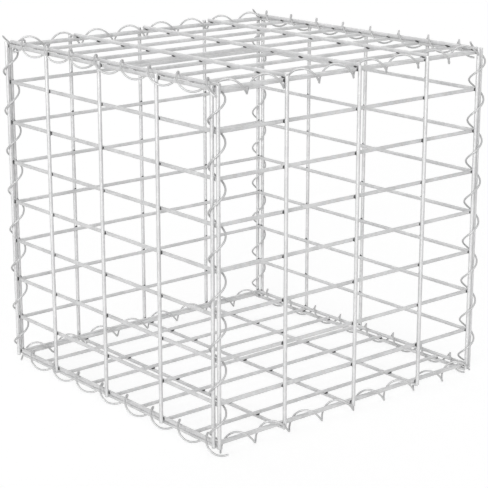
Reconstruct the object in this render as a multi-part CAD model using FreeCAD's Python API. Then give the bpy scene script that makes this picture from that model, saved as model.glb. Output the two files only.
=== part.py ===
import FreeCAD, Part
import math
import os
from FreeCAD import Vector

os.makedirs("parts", exist_ok=True)

# Gabion raised bed: six welded wire panels laced into a cube by twelve coils.
# The origin is under the middle of the cube, on the surface that it stands on.
# The front wall faces -Y, the left wall -X, the right wall +X and the back wall +Y.

# Mesh wire, and the gap where a wire ends beside a neighbouring panel
wire_d = 4.5
end_gap = 0.1

# Walls: level crosswires on the inside, uprights welded on outside them
crosswire_count = 9
opening_height = 50.0
top_opening = 44.0
bottom_opening = 45.5
upright_count = 5
upright_pitch = 106.8
wide_end_pitch = 94.3
narrow_end_pitch = 86.6
crosswire_overhang = 0.15
upright_overhang = 5.0

# Lid and base: level wires from left to right inside, bars from front to back outside
level_wire_count = 9
level_wire_pitch = 50.0
first_level_opening = 40.6
bar_shift = 2.4
level_wire_overhang = 0.15
bar_end_gap = 0.15
base_drop = 1.5

# Lacing coils: thin wire, wound round two or three mesh wires with some slack
coil_wire_d = 2.3
coil_slack = 1.05
coil_stretch = 0.2
lid_front_stretch = 1.1
coil_facets = 10
coil_wire_facets = 5

# Corner coils: axis in from the two outer wire planes, one turn for each wall opening. The
# wire starts above the bottom crosswire, and its top end is measured from the top one.
corner_inset_x = 4.0
corner_inset_y = 4.1
corner_angle = 42.0
corner_start_rise = 1.4
corner_top_rise = 11.5
front_left_top_rise = -3.1

# Lid coils: axis in from the outer wire plane and above the top crosswires
lid_side_inset = 3.1
lid_side_rise = 1.7
lid_end_inset = 6.0
lid_end_rise = 0.3

# Lid coils: a high point past its station, then the wire's ends in from the cube's two sides
lid_left_shift = 18.3
lid_left_start = -2.7
lid_left_end = 10.1
lid_right_shift = 35.8
lid_right_start = 9.8
lid_right_end = 2.6
lid_front_shift = 21.7
lid_front_start = 10.7
lid_front_end = 10.1
lid_back_shift = 31.1
lid_back_start = 10.6
lid_back_end = 11.9

# Base coils: axis in from the outer wire plane and below the base's level wires
base_side_inset = 3.2
base_end_inset = 4.7
base_coil_drop = 1.4

# Base coils: a low point past its station, then the wire's ends in from the cube's two sides
base_left_shift = -1.8
base_left_start = -7.7
base_left_end = 15.1
base_right_shift = 6.2
base_right_start = 5.3
base_right_end = 2.1
base_front_shift = 4.8
base_front_start = 7.6
base_front_end = 4.8
base_back_shift = 2.0
base_back_start = 1.6
base_back_end = 10.8

# Plan size, from the walls: each crosswire ends inside one neighbour and against the other
crosswire_length = (wide_end_pitch + narrow_end_pitch
                    + (upright_count - 3) * upright_pitch + 2 * crosswire_overhang)
free_end = wire_d / 2 + end_gap
butt_end = 1.5 * wire_d + end_gap
cube = free_end + crosswire_length + butt_end
inner_height = top_opening + bottom_opening + (crosswire_count - 3) * opening_height
coil_r = 1.5 * wire_d + coil_slack + coil_wire_d / 2
base_level = base_coil_drop + coil_r + coil_wire_d / 2
wall_foot = base_level + base_drop
wall_top = wall_foot + inner_height

# Heights of the crosswires, from the lowest up
levels = [wall_foot] + [wall_foot + bottom_opening + i * opening_height
                        for i in range(crosswire_count - 2)] + [wall_top]


# A straight wire with eight flats, so that crossing wires meet flat on flat
def straight_wire(start, end):
    along = end.sub(start)
    axes = [v for v in (Vector(1, 0, 0), Vector(0, 1, 0), Vector(0, 0, 1))
            if abs(v.dot(along)) < 1e-6]
    corner_r = wire_d / 2 / math.cos(math.pi / 8)
    ring = [start + axes[0] * corner_r * math.cos(math.pi / 8 + i * math.pi / 4)
            + axes[1] * corner_r * math.sin(math.pi / 8 + i * math.pi / 4) for i in range(8)]
    return Part.Face(Part.makePolygon(ring + ring[:1])).extrude(along)


# A wall facing -Y, its outer wires on y = 0: crosswires from x = 0, uprights in front
def wall(wide_end_first):
    crosswires = [straight_wire(Vector(0, wire_d, z), Vector(crosswire_length, wire_d, z))
                  for z in levels]
    first = wide_end_pitch if wide_end_first else narrow_end_pitch
    stations = [crosswire_overhang, crosswire_length - crosswire_overhang]
    stations += [crosswire_overhang + first + i * upright_pitch for i in range(upright_count - 2)]
    uprights = [straight_wire(Vector(x, 0, wall_foot - upright_overhang),
                              Vector(x, 0, wall_top + upright_overhang)) for x in stations]
    return Part.Compound(crosswires), Part.Compound(uprights)


# The same wall turned about the vertical and set on its side of the cube
def placed(shape, quarter_turns, x, y):
    turned = shape.copy()
    turned.rotate(Vector(0, 0, 0), Vector(0, 0, 1), 90 * quarter_turns)
    turned.translate(Vector(x, y, 0))
    return turned


# A lid or base: side = 1 puts the bars above the level wires, -1 below them
def flat_panel(z, side):
    near = 2 * wire_d + end_gap
    rows = [near, cube - near]
    rows += [near + first_level_opening + i * level_wire_pitch for i in range(level_wire_count - 2)]
    level_wires = [straight_wire(Vector(butt_end, y, z), Vector(cube - butt_end, y, z)) for y in rows]
    edge = butt_end + level_wire_overhang
    stations = [edge, cube - edge]
    first_bar = free_end + crosswire_overhang + wide_end_pitch + bar_shift
    stations += [first_bar + i * upright_pitch for i in range(upright_count - 2)]
    bar_start = wire_d / 2 + bar_end_gap
    bars = [straight_wire(Vector(x, bar_start, z + side * wire_d),
                          Vector(x, cube - bar_start, z + side * wire_d)) for x in stations]
    return Part.Compound(level_wires), Part.Compound(bars)


# Round wire bent into a coil: a small ring swept along the bent line with mitred corners
def coil(points):
    first = points[1].sub(points[0]).normalize()
    side = first.cross(Vector(0, 0, 1) if abs(first.z) < 0.9 else Vector(1, 0, 0)).normalize()
    other = first.cross(side)
    ring = [points[0] + side * (coil_wire_d / 2 * math.cos(2 * math.pi * i / coil_wire_facets))
            + other * (coil_wire_d / 2 * math.sin(2 * math.pi * i / coil_wire_facets))
            for i in range(coil_wire_facets)]
    sweep = Part.BRepOffsetAPI.MakePipeShell(Part.makePolygon(points))
    sweep.setTransitionMode(1)
    sweep.add(Part.makePolygon(ring + ring[:1]))
    sweep.build()
    sweep.makeSolid()
    return sweep.shape()


# Corner coil: it passes every crosswire at the same angle, so its rise follows the openings
def corner_coil(x, y, top_rise):
    start = corner_start_rise / bottom_opening
    end = crosswire_count - 1 + top_rise / (opening_height if top_rise > 0 else top_opening)
    points = []
    for i in range(round((end - start) * coil_facets) + 1):
        turns = start + i / coil_facets
        low = min(int(turns), crosswire_count - 2)
        rise = levels[low + 1] - levels[low] if turns < crosswire_count - 1 else opening_height
        z = levels[low] + (turns - low) * rise
        if turns >= crosswire_count - 1:
            z = wall_top + (turns - crosswire_count + 1) * rise
        angle = math.radians(corner_angle) + 2 * math.pi * turns
        points.append(Vector(x + coil_r * math.cos(angle), y + coil_r * math.sin(angle), z))
    return coil(points)


# Edge coil along X or Y, from start to end in from the sides. Its angle is 90 at a high
# point and 270 at a low one, where reference is.
def edge_coil(axis, across, z, reference, reference_angle, pitch, start, end):
    step = pitch / coil_facets
    first, last = round((start - reference) / step), round((cube - end - reference) / step)
    points = []
    for i in range(first, last + 1):
        along = reference + i * step
        angle = math.radians(reference_angle) + 2 * math.pi * i / coil_facets
        side, up = coil_r * math.cos(angle), coil_r * math.sin(angle)
        if axis == "x":
            points.append(Vector(along, across + side, z + up))
        else:
            points.append(Vector(across - side, along, z + up))
    return coil(points)


nodes = {}

# Walls: the left and right ones run the other way round, so wide ends meet at two corners
for name, wide_first, turns, x, y in (
        ("front", True, 0, free_end, 0),
        ("right", False, 1, cube, free_end),
        ("back", True, 2, cube - free_end, cube),
        ("left", False, 3, 0, cube - free_end)):
    crosswires, uprights = wall(wide_first)
    nodes[name + "_wall_crosswires"] = placed(crosswires, turns, x, y)
    nodes[name + "_wall_uprights"] = placed(uprights, turns, x, y)

# Lid level with the top crosswires, base a little below the bottom ones
nodes["lid_level_wires"], nodes["lid_bars"] = flat_panel(wall_top, 1)
nodes["base_level_wires"], nodes["base_bars"] = flat_panel(base_level, -1)

# Corner coils
far_x, far_y = cube - corner_inset_x, cube - corner_inset_y
nodes["corner_coil_front_left"] = corner_coil(corner_inset_x, corner_inset_y, front_left_top_rise)
nodes["corner_coil_front_right"] = corner_coil(far_x, corner_inset_y, corner_top_rise)
nodes["corner_coil_back_left"] = corner_coil(corner_inset_x, far_y, corner_top_rise)
nodes["corner_coil_back_right"] = corner_coil(far_x, far_y, corner_top_rise)

# Stations that the edge coils are set from: a level wire and the middle uprights
level_station = 2 * wire_d + end_gap + first_level_opening + 2 * level_wire_pitch
front_station = free_end + crosswire_overhang + wide_end_pitch + upright_pitch
back_station = cube - front_station
edge_pitch = level_wire_pitch + coil_stretch
lid_front_pitch = level_wire_pitch + lid_front_stretch

# Lid coils
side_z, end_z = wall_top + lid_side_rise, wall_top + lid_end_rise
nodes["lid_coil_left"] = edge_coil("y", lid_side_inset, side_z, level_station + lid_left_shift,
                                   90, edge_pitch, lid_left_start, lid_left_end)
nodes["lid_coil_right"] = edge_coil("y", cube - lid_side_inset, side_z,
                                    level_station + lid_right_shift,
                                    90, edge_pitch, lid_right_start, lid_right_end)
nodes["lid_coil_front"] = edge_coil("x", lid_end_inset, end_z, front_station + lid_front_shift,
                                    90, lid_front_pitch, lid_front_start, lid_front_end)
nodes["lid_coil_back"] = edge_coil("x", cube - lid_end_inset, end_z,
                                   back_station + lid_back_shift,
                                   90, edge_pitch, lid_back_start, lid_back_end)

# Base coils; the cube stands on them
foot_z = base_level - base_coil_drop
nodes["base_coil_left"] = edge_coil("y", base_side_inset, foot_z,
                                    level_station + base_left_shift,
                                    270, edge_pitch, base_left_start, base_left_end)
nodes["base_coil_right"] = edge_coil("y", cube - base_side_inset, foot_z,
                                     level_station + base_right_shift,
                                     270, edge_pitch, base_right_start, base_right_end)
nodes["base_coil_front"] = edge_coil("x", base_end_inset, foot_z,
                                     front_station + base_front_shift,
                                     270, edge_pitch, base_front_start, base_front_end)
nodes["base_coil_back"] = edge_coil("x", cube - base_end_inset, foot_z,
                                    back_station + base_back_shift,
                                    270, edge_pitch, base_back_start, base_back_end)

for name, shape in nodes.items():
    shape.translate(Vector(-cube / 2, -cube / 2, 0))
    shape.exportStep("parts/" + name + ".step")
    box = shape.BoundBox
    print(name, len(shape.Solids), "solids", len(shape.Faces), "faces",
          "%.2f %.2f %.2f to %.2f %.2f %.2f" % (box.XMin, box.YMin, box.ZMin,
                                                box.XMax, box.YMax, box.ZMax))
print("cube", round(cube, 2), "inner height", inner_height, "coil radius", coil_r)
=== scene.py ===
import math

import bpy
import numpy as np
from mathutils import Matrix


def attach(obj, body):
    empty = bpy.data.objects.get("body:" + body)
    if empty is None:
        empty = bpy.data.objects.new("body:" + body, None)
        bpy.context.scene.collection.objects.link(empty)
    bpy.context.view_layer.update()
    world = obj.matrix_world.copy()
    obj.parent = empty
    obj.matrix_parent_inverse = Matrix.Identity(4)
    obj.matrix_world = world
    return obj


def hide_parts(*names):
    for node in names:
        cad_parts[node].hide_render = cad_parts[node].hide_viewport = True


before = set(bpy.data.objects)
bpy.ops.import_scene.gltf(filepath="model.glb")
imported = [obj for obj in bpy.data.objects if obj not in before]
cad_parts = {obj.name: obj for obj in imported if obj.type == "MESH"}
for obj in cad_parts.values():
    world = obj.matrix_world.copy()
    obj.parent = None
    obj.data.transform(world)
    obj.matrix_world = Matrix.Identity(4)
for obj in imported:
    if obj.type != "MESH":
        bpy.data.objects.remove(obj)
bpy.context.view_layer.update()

# Gabion raised bed: six welded mesh panels laced into a cube by twelve wire coils.
# Settings are in millimetres, measured from the cube's front left edge and the ground.
# The meshes are in metres, round the middle of the cube.

perMetre = 1000.0
inMetres = 0.001
fullTurn = 2 * math.pi

cube = {
    "side": 404.0,          # outer wires, centre to centre
    "lowest": 13.0,         # the walls' bottom crosswires
    "openings": [45.5, 50.0, 50.0, 50.0, 50.0, 50.0, 50.0, 44.0],  # upwards
    "usualOpening": 50.0,
    "base": 11.5,           # the base's level wires
}
levels = cube["lowest"] + np.concatenate([[0.0], np.cumsum(cube["openings"])])
top = float(levels[-1])


# Materials

zinc = {
    "bright": (0.775, 0.775, 0.777, 1.0),
    "dull": (0.585, 0.586, 0.589, 1.0),
    "metallic": 0.4,
    "roughness": (0.36, 0.54),       # bright, dull
    "spangleSize": 3.2,
    "cloudSize": 26.0,
    "cloudEdges": (0.38, 0.66),      # noise at which a cloud begins and is full
    "grainSize": 0.55,
    "grainEdges": (0.3, 0.7),
    "cloudDulls": 0.5,
    "crystalDulls": 0.35,
    "grainDulls": (-0.1, 0.15),
    "lineStretch": (3.0, 0.05, 1.0),  # round the wire, along it
    "grainHeight": 0.6,
    "lineHeight": 0.35,
    "reliefStrength": 0.35,
    "reliefDepth": 0.00006,          # metres
}


def connect(tree, source, target):
    tree.links.new(source, target)


# Noise whose largest blots are about size millimetres across
def noiseNode(tree, coordinates, size, detail):
    node = tree.nodes.new("ShaderNodeTexNoise")
    node.inputs["Scale"].default_value = perMetre / size
    node.inputs["Detail"].default_value = detail
    connect(tree, coordinates, node.inputs["Vector"])
    return node.outputs["Fac"]


def rangeNode(tree, value, fromLow, fromHigh, toLow, toHigh):
    node = tree.nodes.new("ShaderNodeMapRange")
    for socket, number in zip(("From Min", "From Max", "To Min", "To Max"),
                              (fromLow, fromHigh, toLow, toHigh)):
        node.inputs[socket].default_value = number
    connect(tree, value, node.inputs["Value"])
    return node.outputs["Result"]


def mathNode(tree, operation, first, second):
    node = tree.nodes.new("ShaderNodeMath")
    node.operation = operation
    for socket, value in zip(node.inputs, (first, second)):
        if isinstance(value, (int, float)):
            socket.default_value = value
        else:
            connect(tree, value, socket)
    return node.outputs[0]


# Hot-dip zinc on drawn wire: faint crystal spangle, clouds of duller skin, fine grain and
# the lengthwise lines of the drawing die, which follow the wire on its UV map
def zincMaterial(name, look):
    material = bpy.data.materials.new(name)
    material.use_nodes = True
    tree = material.node_tree
    shader = tree.nodes["Principled BSDF"]
    place = tree.nodes.new("ShaderNodeTexCoord")
    cloud = noiseNode(tree, place.outputs["Object"], look["cloudSize"], 3.0)
    grain = noiseNode(tree, place.outputs["Object"], look["grainSize"], 2.0)
    spangle = tree.nodes.new("ShaderNodeTexVoronoi")
    spangle.inputs["Scale"].default_value = perMetre / look["spangleSize"]
    connect(tree, place.outputs["Object"], spangle.inputs["Vector"])
    crystal = tree.nodes.new("ShaderNodeSeparateColor")
    connect(tree, spangle.outputs["Color"], crystal.inputs["Color"])
    stretch = tree.nodes.new("ShaderNodeMapping")
    stretch.inputs["Scale"].default_value = look["lineStretch"]
    connect(tree, place.outputs["UV"], stretch.inputs["Vector"])
    lines = tree.nodes.new("ShaderNodeTexNoise")
    lines.inputs["Scale"].default_value = 1.0
    lines.inputs["Detail"].default_value = 3.0
    connect(tree, stretch.outputs["Vector"], lines.inputs["Vector"])

    patches = rangeNode(tree, cloud, *look["cloudEdges"], 0.0, 1.0)
    dullness = mathNode(tree, "ADD", mathNode(tree, "MULTIPLY", patches, look["cloudDulls"]),
                        mathNode(tree, "MULTIPLY", crystal.outputs["Red"],
                                 look["crystalDulls"]))
    dullness = mathNode(tree, "ADD", dullness,
                        rangeNode(tree, grain, *look["grainEdges"], *look["grainDulls"]))
    colour = tree.nodes.new("ShaderNodeMix")
    colour.data_type = "RGBA"
    colour.inputs["A"].default_value = look["bright"]
    colour.inputs["B"].default_value = look["dull"]
    connect(tree, dullness, colour.inputs["Factor"])
    connect(tree, colour.outputs["Result"], shader.inputs["Base Color"])
    connect(tree, rangeNode(tree, dullness, 0.0, 1.0, *look["roughness"]),
            shader.inputs["Roughness"])
    shader.inputs["Metallic"].default_value = look["metallic"]

    relief = mathNode(tree, "ADD", mathNode(tree, "MULTIPLY", grain, look["grainHeight"]),
                      mathNode(tree, "MULTIPLY", lines.outputs["Fac"], look["lineHeight"]))
    bump = tree.nodes.new("ShaderNodeBump")
    bump.inputs["Strength"].default_value = look["reliefStrength"]
    bump.inputs["Distance"].default_value = look["reliefDepth"]
    connect(tree, relief, bump.inputs["Height"])
    connect(tree, bump.outputs["Normal"], shader.inputs["Normal"])
    return material


meshZinc = zincMaterial("meshZinc", zinc)
# The coils' zinc is darker than the mesh's: painted shade, for coils lying in the shade of the
# wires around them
coilZincPaintedShade = zincMaterial("coilZincPaintedShade", {**zinc, "bright": (0.60, 0.60, 0.602, 1.0),
                                     "dull": (0.49, 0.491, 0.494, 1.0), "spangleSize": 2.0})
# The welds are coloured near black: burnt zinc at the weld, darkened much further as painted
# contact shade where the wires cross
weldBurnAndPaintedShade = zincMaterial("weldBurnAndPaintedShade", {**zinc, "bright": (0.06, 0.06, 0.061, 1.0),
                                     "dull": (0.03, 0.03, 0.031, 1.0), "metallic": 0.2})
print("materials ready")


# Surfaces

# Tubes joined into one mesh. grid is tubes x stations x sides x 3 and goes round each tube
# against the clock as seen from its end; along is each station's distance in millimetres.
# Quads join neighbouring stations and sides, and a middle point closes each end.
def makePiece(name, grid, along, material, nodes):
    tubes, stations, sides, _ = grid.shape
    girth = np.linalg.norm(grid[:, :, 1] - grid[:, :, 0], axis=-1).max() * sides
    ends = grid[:, (0, -1)].mean(axis=2)
    points = np.concatenate([grid.reshape(-1, 3), ends.reshape(-1, 3)])
    points = (points - (cube["side"] / 2, cube["side"] / 2, 0.0)) * inMetres

    tube, station, side = np.meshgrid(np.arange(tubes), np.arange(stations - 1),
                                      np.arange(sides), indexing="ij")
    near = (tube * stations + station) * sides
    beside = (side + 1) % sides
    quads = np.stack([near + side, near + beside, near + sides + beside,
                      near + sides + side], axis=-1).reshape(-1, 4)
    u = np.stack([side, side + 1, side + 1, side], axis=-1) * girth / sides
    v = np.stack([along[tube, station]] * 2 + [along[tube, station + 1]] * 2, axis=-1)
    quadUv = np.stack([u, v], axis=-1).reshape(-1, 2)

    tube, side = np.meshgrid(np.arange(tubes), np.arange(sides), indexing="ij")
    beside = (side + 1) % sides
    first = tube * stations * sides
    last = first + (stations - 1) * sides
    hub = tubes * stations * sides + 2 * tube
    caps = np.concatenate([np.stack([hub, first + beside, first + side], axis=-1).reshape(-1, 3),
                           np.stack([hub + 1, last + side, last + beside],
                                    axis=-1).reshape(-1, 3)])
    capUv = np.concatenate([np.stack([side, side + 1, side], axis=-1).reshape(-1)] * 2)
    capUv = np.stack([capUv * girth / sides, np.zeros(len(capUv))], axis=-1)

    mesh = bpy.data.meshes.new(name)
    mesh.vertices.add(len(points))
    mesh.vertices.foreach_set("co", points.ravel())
    corners = np.concatenate([quads.ravel(), caps.ravel()])
    sizes = np.concatenate([np.full(len(quads), 4), np.full(len(caps), 3)])
    mesh.loops.add(len(corners))
    mesh.loops.foreach_set("vertex_index", corners)
    mesh.polygons.add(len(sizes))
    mesh.polygons.foreach_set("loop_start", np.concatenate([[0], np.cumsum(sizes)[:-1]]))
    mesh.update(calc_edges=True)
    mesh.polygons.foreach_set("use_smooth", np.ones(len(sizes), dtype=bool))
    uvLayer = mesh.uv_layers.new(name="wire")
    uvLayer.data.foreach_set("uv", np.concatenate([quadUv, capUv]).ravel())
    mesh.validate()
    mesh.materials.append(material)
    piece = bpy.data.objects.new(name, mesh)
    bpy.context.scene.collection.objects.link(piece)
    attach(piece, "root")
    if nodes:
        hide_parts(*nodes)
    return piece


# Where the rings of a cut end lie, as shares of the length of its rounding. The first two
# are both at the very end: the rim of the flat face, at half the radius, and the edge outside it.
endRings = np.array([0.0, 0.0, 0.12, 0.4, 1.0])


# Radius of the wire at each station: at a cut end the radius grows along a quarter circle, from
# the full one less the rounding to the full one, and the first and last ring have half of it
def endProfile(distance, length, look):
    radius = look["diameter"] / 2
    fromEnd = np.minimum(distance, length - distance)
    rise = np.clip(fromEnd / look["rounding"], 0.0, 1.0)
    profile = radius - look["rounding"] * (1.0 - np.sqrt(rise * (2.0 - rise)))
    profile[..., 0] = profile[..., -1] = look["diameter"] / 4
    return profile


# Zinc that ran before it set: waves are added where the wire has nearly its full radius
def unevenRadius(radius, waves, look):
    full = radius > look["wavesAbove"] * look["diameter"] / 2
    return radius[..., None] + look["unevenness"] * waves * full[..., None]


roundWire = {
    "diameter": 4.5,
    "sides": 20,
    "stationEvery": 6.0,
    "firstStation": 2.0,    # from the ends
    "rounding": 0.45,
    "unevenness": 0.035,
    "wavesAbove": 0.9,      # share of the radius
    "waveTurns": (0, 1, 1, 2, 3),
    "waveLengths": (14.0, 70.0),
    "waveStarts": (0.0, 6.28),
}
zincRuns = np.random.default_rng(11)


# Straight round wires: round each axis a circle is carried from start to end. Its radius is
# the wire's, less the rounding at the cut ends, plus the mean of a few cosine waves that go
# round and along the wire.
def straightWires(name, starts, ends, node):
    look = roundWire
    starts, ends = np.asarray(starts, float), np.asarray(ends, float)
    lengths = np.linalg.norm(ends - starts, axis=1)
    direction = (ends - starts) / lengths[:, None]
    across = np.roll(direction, 1, axis=1)
    other = np.cross(direction, across)
    steps = int(round(lengths.max() / look["stationEvery"]))
    edge = look["rounding"] * endRings
    middle = np.linspace(look["firstStation"], lengths - look["firstStation"], steps).T
    along = np.concatenate([np.broadcast_to(edge, (len(lengths), len(edge))), middle,
                            lengths[:, None] - edge[::-1]], axis=1)
    radius = endProfile(along, lengths[:, None], look)
    angle = np.arange(look["sides"]) * fullTurn / look["sides"]
    waves = np.zeros(along.shape + angle.shape)
    for turns in look["waveTurns"]:
        wavelength = zincRuns.uniform(*look["waveLengths"])
        start = zincRuns.uniform(*look["waveStarts"], len(lengths))
        waves += np.cos(along[..., None] * fullTurn / wavelength + turns * angle
                        + start[:, None, None]) / len(look["waveTurns"])
    size = unevenRadius(radius, waves, look)
    axisPoints = starts[:, None] + direction[:, None] * along[..., None]
    ring = (across[:, None] * np.cos(angle)[:, None] + other[:, None] * np.sin(angle)[:, None])
    grid = axisPoints[:, :, None] + size[..., None] * ring[:, None]
    return makePiece(name, grid, along, meshZinc, [node])


weld = {
    "sides": 16,
    "rows": 4,
    # The spread and the wrap also set how far the near-black painted contact shade reaches round
    # each crossing
    "spread": 3.8,          # along each wire
    "wrap": 1.85,           # round each wire, from its crown
    "pinch": 0.45,
    "sink": 0.12,
    "variation": 0.12,
    "rise": 3.0,            # over the rows, for the UV map
}


# How far out a weld's rim lies, where the wire that carries it is the share sideways away:
# a rounded oblong of the spread and the wrap, (spread^-4 + (sideways / wrap)^4)^-1/4
def weldRim(sideways):
    return (weld["spread"] ** -4 + (sideways / weld["wrap"]) ** 4) ** -0.25


# Welds where two wires touch: a ring of squeezed metal. At each angle its lower rim lies on the
# lower wire and its upper rim on the upper wire, as far out as the spread along the wire and
# the wrap round it allow. The radius between the rims is their mean, less the pinch in the middle.
# before and after are the lengths of lower wire on both sides of the weld. The ring is cut off
# flat where that wire ends, and the cut face is plain zinc.
# Apart from its cut face the ring is near black: burnt zinc, darkened further as painted contact
# shade
def wireWelds(name, places, lower, upper, before, after):
    look = weld
    wireR = roundWire["diameter"] / 2
    places = np.asarray(places, float)
    lower, upper = np.asarray(lower, float), np.asarray(upper, float)
    outward = np.cross(lower, upper)
    scale = 1.0 + look["variation"] * zincRuns.uniform(-1, 1, len(places))[:, None]
    angle = np.arange(look["sides"]) * fullTurn / look["sides"]
    onLower = weldRim(np.sin(angle)) * scale
    onUpper = weldRim(np.cos(angle)) * scale
    bottom = np.sqrt(wireR ** 2 - (onLower * np.sin(angle)) ** 2) - wireR - look["sink"]
    roof = wireR - np.sqrt(wireR ** 2 - (onUpper * np.cos(angle)) ** 2) + look["sink"]
    share = np.linspace(0.0, 1.0, look["rows"])[:, None]
    radius = (onLower[:, None] * (1 - share) + onUpper[:, None] * share
              - look["pinch"] * np.sin(math.pi * share))
    level = bottom[:, None] * (1 - share) + roof[:, None] * share
    before, after = before[:, None, None], after[:, None, None]
    alongLower = np.clip(radius * np.cos(angle), -before, after)
    grid = (places[:, None, None] + alongLower[..., None] * lower
            + (radius * np.sin(angle))[..., None] * upper + level[..., None] * outward)
    along = np.broadcast_to(look["rise"] * share[:, 0], (len(places), look["rows"]))
    piece = makePiece(name, grid, along, weldBurnAndPaintedShade, [])
    piece.data.materials.append(meshZinc)
    flat = (alongLower <= -before) | (alongLower >= after)
    cut = flat & np.roll(flat, -1, axis=2)
    onCut = np.zeros(len(piece.data.polygons), dtype=np.int32)
    onCut[:cut[:, 1:].size] = (cut[:, 1:] & cut[:, :-1]).ravel()
    piece.data.polygons.foreach_set("material_index", onCut)
    return piece


# Walls

wallPanel = {
    "length": 394.8,        # crosswires
    "edge": 0.15,           # they pass the end uprights by this
    "wideEnd": 94.3,
    "narrowEnd": 86.6,
    "pitch": 106.8,         # between the middle uprights
    "middleUprights": 3,
    "overhang": 5.0,        # uprights, past the top and bottom crosswires
}
walls = {
    "front": {"quarterTurns": 0, "corner": (2.35, 0.0), "wideFirst": True},
    "right": {"quarterTurns": 1, "corner": (404.0, 2.35), "wideFirst": False},
    "back": {"quarterTurns": 2, "corner": (401.65, 404.0), "wideFirst": True},
    "left": {"quarterTurns": 3, "corner": (0.0, 401.65), "wideFirst": False},
}


# Each quarter turn round the upright axis takes x, y to -y, x
def turned(points, quarterTurns):
    x, y, z = np.moveaxis(np.asarray(points, float), -1, 0)
    for _ in range(quarterTurns):
        x, y = -y, x
    return np.stack([x, y, z], axis=-1)


# List of the points whose x, y and z are spread over each other
def table(x, y, z):
    return np.stack([a.ravel() for a in np.broadcast_arrays(x, y, z)], axis=-1)


# A wall is laid out as seen from outside, with x from its left end, y inwards and z up, and
# then turned and put at its corner
def makeWall(wallName, place):
    look, wireD = wallPanel, roundWire["diameter"]
    first = look["wideEnd"] if place["wideFirst"] else look["narrowEnd"]
    stations = look["edge"] + np.concatenate(
        [[0.0], first + look["pitch"] * np.arange(look["middleUprights"]),
         [look["length"] - 2 * look["edge"]]])
    corner = np.array([*place["corner"], 0.0])

    def onWall(x, y, z):
        return turned(table(x, y, z), place["quarterTurns"]) + corner

    straightWires(wallName + "WallCrosswires", onWall(0.0, wireD, levels),
                  onWall(look["length"], wireD, levels), wallName + "_wall_crosswires")
    straightWires(wallName + "WallUprights",
                  onWall(stations, 0.0, levels[0] - look["overhang"]),
                  onWall(stations, 0.0, levels[-1] + look["overhang"]),
                  wallName + "_wall_uprights")
    before = np.repeat(stations, len(levels))
    wireWelds(wallName + "WallWelds", onWall(stations[:, None], wireD / 2, levels[None]),
              turned((1, 0, 0), place["quarterTurns"]), (0, 0, 1),
              before, look["length"] - before)
    print(wallName, "wall made")


for wallName, place in walls.items():
    makeWall(wallName, place)


# Lid and base

flatPanels = {
    "lid": {"height": top, "barSide": 1},
    "base": {"height": cube["base"], "barSide": -1},
}
flatPanel = {
    "rows": [9.1] + [49.7 + 50.0 * row for row in range(7)] + [394.9],
    "rowEnds": (6.85, 397.15),
    "bars": [7.0, 99.2, 206.0, 312.8, 397.0],
    "barEnds": (2.4, 401.6),
}


# The bars run from front to back, one wire above the lid's level wires and below the base's
def makeFlatPanel(panelName, place):
    rows, bars = np.array(flatPanel["rows"]), np.array(flatPanel["bars"])
    rowStart, rowEnd = flatPanel["rowEnds"]
    barStart, barEnd = flatPanel["barEnds"]
    height, barHeight = place["height"], place["height"] + place["barSide"] * roundWire["diameter"]
    straightWires(panelName + "LevelWires", table(rowStart, rows, height),
                  table(rowEnd, rows, height), panelName + "_level_wires")
    straightWires(panelName + "Bars", table(bars, barStart, barHeight),
                  table(bars, barEnd, barHeight), panelName + "_bars")
    crossings = np.repeat(bars, len(rows))
    wireWelds(panelName + "Welds",
              table(bars[:, None], rows[None], (height + barHeight) / 2),
              (1, 0, 0), (0, place["barSide"], 0), crossings - rowStart, rowEnd - crossings)
    print(panelName, "made")


for panelName, place in flatPanels.items():
    makeFlatPanel(panelName, place)


# Lacing coils

coilWire = {
    "diameter": 2.3,
    "sides": 14,
    "stepsPerTurn": 60,
    "radius": 8.95,         # centre line
    "firstStation": 0.5,    # from the ends
    "rounding": 0.3,
    "unevenness": 0.02,
    "wavesAbove": 0.85,     # share of the wire's radius
    "waveTurns": (0, 1, 2),
    "waveLengths": (9.0, 40.0),
}


# Wire bent into a helix: a circle is carried along the centre line. Each ring lies across the
# line, set out from the direction away from the coil's axis, and is smaller at the cut ends.
def coil(name, path, awayFromAxis, node):
    look = coilWire
    tangent = np.gradient(path, axis=0)
    tangent /= np.linalg.norm(tangent, axis=1)[:, None]
    across = awayFromAxis - tangent * (awayFromAxis * tangent).sum(axis=1)[:, None]
    across /= np.linalg.norm(across, axis=1)[:, None]
    other = np.cross(tangent, across)
    steps = np.linalg.norm(np.diff(path, axis=0), axis=1)
    along = np.concatenate([[0.0], np.cumsum(steps)])
    edge = look["rounding"] * endRings
    inner = along[(along > look["firstStation"]) & (along < along[-1] - look["firstStation"])]
    wanted = np.concatenate([edge, inner, along[-1] - edge[::-1]])
    radius = endProfile(wanted, along[-1], look)
    path, across, other = (np.stack([np.interp(wanted, along, a[:, i]) for i in range(3)], axis=-1)
                           for a in (path, across, other))
    angle = np.arange(look["sides"]) * fullTurn / look["sides"]
    waves = sum(np.cos(wanted[:, None] * fullTurn / zincRuns.uniform(*look["waveLengths"])
                       + turns * angle)
                for turns in look["waveTurns"]) / len(look["waveTurns"])
    size = unevenRadius(radius, waves, look)
    grid = path[:, None] + size[..., None] * (across[:, None] * np.cos(angle)[:, None]
                                              + other[:, None] * np.sin(angle)[:, None])
    return makePiece(name, grid[None], wanted[None], coilZincPaintedShade, [node])


cornerCoils = {
    "inset": (4.0, 4.1),
    "angle": 42.0,          # at each crosswire
    "start": 0.0308,        # turns above the lowest crosswire
    "turns": {"front_left": 7.9, "front_right": 8.2, "back_left": 8.2, "back_right": 8.2},
}


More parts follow.
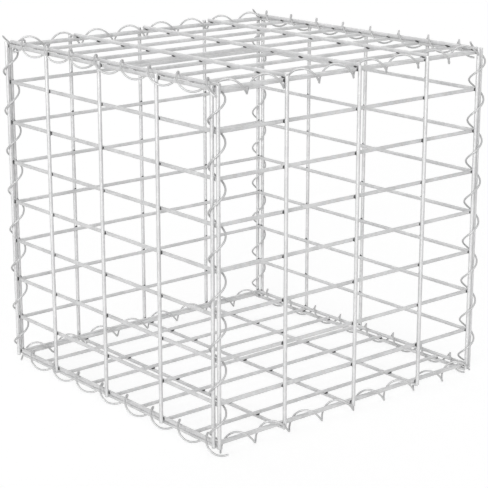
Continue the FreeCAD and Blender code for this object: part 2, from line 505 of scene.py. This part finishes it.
# Corner coil: the angle grows evenly with the turns, and the height follows the openings, one
# turn to each. Past the top crosswire a turn rises by the usual opening.
def cornerCoil(corner, turns):
    look = cornerCoils
    openings = len(levels) - 1
    turn = look["start"] + np.linspace(0.0, turns, int(turns * coilWire["stepsPerTurn"]) + 1)
    height = (np.interp(turn, np.arange(openings + 1), levels)
              + np.maximum(turn - openings, 0.0) * cube["usualOpening"])
    angle = math.radians(look["angle"]) + fullTurn * turn
    away = np.stack([np.cos(angle), np.sin(angle), np.zeros_like(angle)], axis=-1)
    insetX, insetY = look["inset"]
    middleX = insetX if "left" in corner else cube["side"] - insetX
    middleY = insetY if "front" in corner else cube["side"] - insetY
    middle = np.stack([np.full_like(turn, middleX), np.full_like(turn, middleY), height], axis=-1)
    sideName, endName = corner.split("_")
    coil("cornerCoil" + sideName.title() + endName.title(),
         middle + coilWire["radius"] * away, away, "corner_coil_" + corner)


for corner, turns in cornerCoils["turns"].items():
    cornerCoil(corner, turns)

lidCoils = {
    "startAngle": 90.0, "sideHeight": top + 1.7, "endHeight": top + 0.3,
    "left": {"across": 3.1, "from": 168.0, "turns": (-3.4, 4.5), "pitch": 50.2},
    "right": {"across": 400.9, "from": 185.5, "turns": (-3.5, 4.3), "pitch": 50.2},
    "front": {"across": 6.0, "from": 225.3, "turns": (-4.2, 3.3), "pitch": 51.1},
    "back": {"across": 398.0, "from": 231.5, "turns": (-4.4, 3.2), "pitch": 50.2},
}
baseCoils = {
    "startAngle": 270.0, "sideHeight": cube["base"] - 1.4, "endHeight": cube["base"] - 1.4,
    "left": {"across": 3.2, "from": 147.9, "turns": (-3.1, 4.8), "pitch": 50.2},
    "right": {"across": 400.8, "from": 155.9, "turns": (-3.0, 4.9), "pitch": 50.2},
    "front": {"across": 4.7, "from": 208.4, "turns": (-4.0, 3.8), "pitch": 50.2},
    "back": {"across": 399.3, "from": 202.4, "turns": (-4.0, 3.8), "pitch": 50.2},
}


# Edge coil: from the point where it is highest or lowest, each turn goes once round the axis and
# one pitch along the edge. On the left and right edges the axis runs from front to back.
def edgeCoil(panelName, edgeName, look):
    place = look[edgeName]
    first, last = place["turns"]
    turn = np.linspace(first, last, int((last - first) * coilWire["stepsPerTurn"]) + 1)
    alongEdge = place["from"] + turn * place["pitch"]
    angle = math.radians(look["startAngle"]) + fullTurn * turn
    sideways, up, still = np.cos(angle), np.sin(angle), np.zeros_like(angle)
    if edgeName in ("left", "right"):
        away = np.stack([-sideways, still, up], axis=-1)
        middle = table(place["across"], alongEdge, look["sideHeight"])
    else:
        away = np.stack([still, sideways, up], axis=-1)
        middle = table(alongEdge, place["across"], look["endHeight"])
    coil(panelName + "Coil" + edgeName.title(), middle + coilWire["radius"] * away, away,
         panelName + "_coil_" + edgeName)


for edgeName in ("left", "right", "front", "back"):
    edgeCoil("lid", edgeName, lidCoils)
    edgeCoil("base", edgeName, baseCoils)
print("coils made")


# Floor and background

backdrop = {
    "halfSize": 14.0,       # metres
    "cells": 8,
    "level": -0.00005,      # just under the coils
    "floorColour": (0.90, 0.90, 0.90, 1.0),
    "floorRoughness": 0.9,
    "floorGlow": 0.6,       # share of glow in the floor as the camera sees it
    "glowStrength": 1.3,    # with the lamps' light the open floor comes to white, shadows below
    "skyStrength": 0.32,
}
white = (1.0, 1.0, 1.0, 1.0)


# Camera, glossy and transmitted rays as one 0 or 1
def seenRays(tree):
    path = tree.nodes.new("ShaderNodeLightPath")
    seen = mathNode(tree, "MAXIMUM", path.outputs["Is Camera Ray"], path.outputs["Is Glossy Ray"])
    return mathNode(tree, "MAXIMUM", seen, path.outputs["Is Transmission Ray"])


# Flat square of cells
def makeFloor():
    size, cells = backdrop["halfSize"], backdrop["cells"]
    rows = cells + 1
    line = np.linspace(-size, size, rows)
    x, y = np.meshgrid(line, line, indexing="ij")
    points = np.stack([x, y, np.full_like(x, backdrop["level"])], axis=-1).reshape(-1, 3)
    i, j = np.meshgrid(np.arange(cells), np.arange(cells), indexing="ij")
    faces = np.stack([i * rows + j, (i + 1) * rows + j, (i + 1) * rows + j + 1,
                      i * rows + j + 1], axis=-1).reshape(-1, 4)
    mesh = bpy.data.meshes.new("floor")
    mesh.from_pydata(points.tolist(), [], faces.tolist())
    floorPiece = bpy.data.objects.new("floor", mesh)
    bpy.context.scene.collection.objects.link(floorPiece)
    material = bpy.data.materials.new("floorWhite")
    material.use_nodes = True
    tree = material.node_tree
    shader = tree.nodes["Principled BSDF"]
    shader.inputs["Base Color"].default_value = backdrop["floorColour"]
    shader.inputs["Roughness"].default_value = backdrop["floorRoughness"]
    shader.inputs["Specular IOR Level"].default_value = 0.0
    glow = tree.nodes.new("ShaderNodeEmission")
    glow.inputs["Strength"].default_value = backdrop["glowStrength"]
    mix = tree.nodes.new("ShaderNodeMixShader")
    connect(tree, mathNode(tree, "MULTIPLY", seenRays(tree), backdrop["floorGlow"]),
            mix.inputs["Fac"])
    connect(tree, shader.outputs["BSDF"], mix.inputs[1])
    connect(tree, glow.outputs["Emission"], mix.inputs[2])
    connect(tree, mix.outputs["Shader"], tree.nodes["Material Output"].inputs["Surface"])
    mesh.materials.append(material)


# The sky lights the object softly and looks plain white
def makeSky():
    world = bpy.data.worlds.new("studio")
    bpy.context.scene.world = world
    world.use_nodes = True
    tree = world.node_tree
    light = tree.nodes["Background"]
    light.inputs["Color"].default_value = white
    light.inputs["Strength"].default_value = backdrop["skyStrength"]
    plain = tree.nodes.new("ShaderNodeBackground")
    plain.inputs["Strength"].default_value = 1.0
    plain.inputs["Color"].default_value = white
    mix = tree.nodes.new("ShaderNodeMixShader")
    connect(tree, seenRays(tree), mix.inputs["Fac"])
    connect(tree, light.outputs["Background"], mix.inputs[1])
    connect(tree, plain.outputs["Background"], mix.inputs[2])
    connect(tree, mix.outputs["Shader"], tree.nodes["World Output"].inputs["Surface"])


makeFloor()
makeSky()

# Wide soft lamps far away: direction is from the cube to the lamp, level is the brightness that
# a white face turned to it gets
lamps = {
    "keyLeft": {"direction": (-0.89, -0.44, 0.14), "spread": 22.0, "level": 0.45},
    "fillFront": {"direction": (-0.40, -0.80, 0.44), "spread": 60.0, "level": 0.22},
    "topFill": {"direction": (0.25, 0.45, 0.85), "spread": 70.0, "level": 0.16},
}
lampDistance = 3.0


# Matrix of a lamp or camera at the position, turned level to look at the target
def aimed(position, target):
    back = np.array(position, float) - np.array(target, float)
    back /= np.linalg.norm(back)
    right = np.cross((0.0, 0.0, 1.0), back)
    right /= np.linalg.norm(right)
    up = np.cross(back, right)
    turn = Matrix([list(row) for row in np.stack([right, up, back], axis=-1)]).to_4x4()
    return Matrix.Translation(position) @ turn


for lampName, place in lamps.items():
    light = bpy.data.lights.new(lampName, "SUN")
    light.angle = math.radians(place["spread"])
    light.energy = math.pi * place["level"]
    lamp = bpy.data.objects.new(lampName, light)
    bpy.context.scene.collection.objects.link(lamp)
    lamp.matrix_world = aimed([lampDistance * part for part in place["direction"]],
                              (0.0, 0.0, 0.0))
print("stage made")


# Camera: the picture's view, measured on its uprights and level wires

viewpoint = {
    "position": (-1.2000, -1.4367, 0.6849),
    "heading": 0.6978,      # radians from straight back, to the right
    "dip": 0.2730,          # radians below level
    "focalPixels": 1575.3,
    "pictureWidth": 488.0,
    "sensorWidth": 36.0,
    "clip": (0.05, 60.0),
}


def makeCamera():
    look = viewpoint
    heading, dip = look["heading"], look["dip"]
    ahead = np.array([math.sin(heading) * math.cos(dip), math.cos(heading) * math.cos(dip),
                      -math.sin(dip)])
    camera = bpy.data.objects.new("camera", bpy.data.cameras.new("camera"))
    bpy.context.scene.collection.objects.link(camera)
    camera.data.lens = look["focalPixels"] / look["pictureWidth"] * look["sensorWidth"]
    camera.data.sensor_width = look["sensorWidth"]
    camera.data.clip_start, camera.data.clip_end = look["clip"]
    position = np.array(look["position"])
    camera.matrix_world = aimed(tuple(position), tuple(position + ahead))
    bpy.context.scene.camera = camera


makeCamera()
bpy.context.scene.view_settings.view_transform = "Standard"
